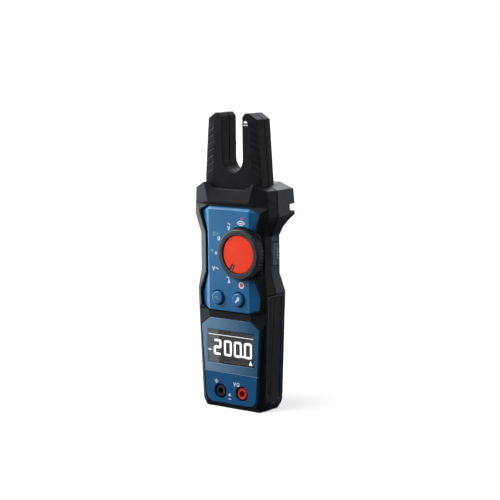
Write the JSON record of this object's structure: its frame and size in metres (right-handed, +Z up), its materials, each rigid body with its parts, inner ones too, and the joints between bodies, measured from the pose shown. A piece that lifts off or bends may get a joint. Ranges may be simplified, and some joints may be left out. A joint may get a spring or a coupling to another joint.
{
  "type": "fork-type electrical meter",
  "caption": "Hand-held electrical tester with a fixed open current fork, rotary selector, display, push buttons, test jacks and a tilt-out battery door.",
  "frame": {"origin": "centre of the whole object's box on the level of its bottom face", "axes": "+Z up the long axis towards the fork, -Y out of the front with dial and display, +X to the right seen from the front"},
  "size_m": [0.0658, 0.041, 0.208],
  "materials": {
    "charcoal_plastic": "fine textured moulding",
    "rear_plastic": "fine textured moulding",
    "blue_plastic": "satin moulding",
    "dark_blue_plastic": "satin moulding",
    "orange_plastic": "smooth satin moulding",
    "red_plastic": "smooth moulding",
    "black_plastic": "satin moulding",
    "white_plastic": "satin moulding",
    "grip_rubber": "soft matt inlay",
    "seal_rubber": "matt",
    "display_lens": "clear hard-coated window over a dark display",
    "lcd": "dark display glass",
    "steel": "bright zinc-plated",
    "brass_contact": "bright",
    "copper": "enamelled wire",
    "ferrite": "matt sintered",
    "circuit_board": "solder-masked laminate",
    "cell_jacket": "foil jacket",
    "label": "blank foil label"
  },
  "bodies": {
    "meter": {"front_housing": "charcoal_plastic", "fork_front_shell": "charcoal_plastic", "fork_rear_shell": "charcoal_plastic", "rear_housing": "rear_plastic", "keypad_panel": "blue_plastic", "display_panel": "blue_plastic", "dial_tray": "dark_blue_plastic", "side_trim_left": "dark_blue_plastic", "side_trim_right": "dark_blue_plastic", "volt_jack_sleeve": "red_plastic", "input_varistor": "red_plastic", "com_jack_sleeve": "black_plastic", "lcd_frame": "black_plastic", "hold_switch": "black_plastic", "measuring_chip": "black_plastic", "buzzer": "black_plastic", "backlight_plate": "white_plastic", "keypad_membrane": "white_plastic", "side_grip_left": "grip_rubber", "side_grip_right": "grip_rubber", "battery_seal": "seal_rubber", "contact_strip_lower": "seal_rubber", "contact_strip_upper": "seal_rubber", "display_lens": "display_lens", "lcd_glass": "lcd", "case_screw_1": "steel", "case_screw_2": "steel", "case_screw_3": "steel", "case_screw_4": "steel", "case_screw_5": "steel", "case_screw_6": "steel", "detent_ball": "steel", "detent_spring": "steel", "battery_spring_left": "steel", "battery_spring_right": "steel", "battery_contact_lower": "steel", "battery_contact_upper": "steel", "com_jack_contact": "brass_contact", "volt_jack_contact": "brass_contact", "sensor_coil_left": "copper", "sensor_coil_right": "copper", "field_antenna": "copper", "sensor_core_left": "ferrite", "sensor_core_right": "ferrite", "main_board": "circuit_board", "sensor_board": "circuit_board", "battery_cell_left": "cell_jacket", "battery_cell_right": "cell_jacket", "rating_plate": "label"},
    "dial": {"dial_knob": "charcoal_plastic", "dial_cap": "orange_plastic", "dial_pointer": "white_plastic", "dial_shaft": "black_plastic", "switch_rotor": "white_plastic", "switch_wiper": "brass_contact"},
    "select_button": {"select_button": "blue_plastic"},
    "light_button": {"light_button": "blue_plastic"},
    "hold_button": {"hold_button": "dark_blue_plastic"},
    "battery_door": {"battery_door": "rear_plastic"},
    "battery_screw": {"battery_screw": "steel"}
  },
  "joints": [
    {"name": "dial_turn", "type": "hinge", "parent": "meter", "child": "dial", "pos_m": [0.0121, -0.0145, 0.1115], "axis": [0, 1, 0], "range_deg": [-30, 150]},
    {"name": "select_press", "type": "slide", "parent": "meter", "child": "select_button", "axis": [0, 1, 0], "range_m": [0, 0.0008], "stiffness_N_per_m": 1500, "springref_m": -0.0005},
    {"name": "light_press", "type": "slide", "parent": "meter", "child": "light_button", "axis": [0, 1, 0], "range_m": [0, 0.0008], "stiffness_N_per_m": 1500, "springref_m": -0.0005},
    {"name": "hold_press", "type": "slide", "parent": "meter", "child": "hold_button", "axis": [-1, 0, 0], "range_m": [0, 0.0007], "stiffness_N_per_m": 1500, "springref_m": -0.0005},
    {"name": "battery_door_tilt", "type": "hinge", "parent": "meter", "child": "battery_door", "pos_m": [0, 0.01395, 0.0126], "axis": [-1, 0, 0], "range_deg": [0, 30]},
    {"name": "battery_screw_turn", "type": "hinge", "parent": "battery_door", "child": "battery_screw", "pos_m": [0, 0.0135, 0.0786], "axis": [0, 1, 0], "range_deg": [0, 90]}
  ]
}
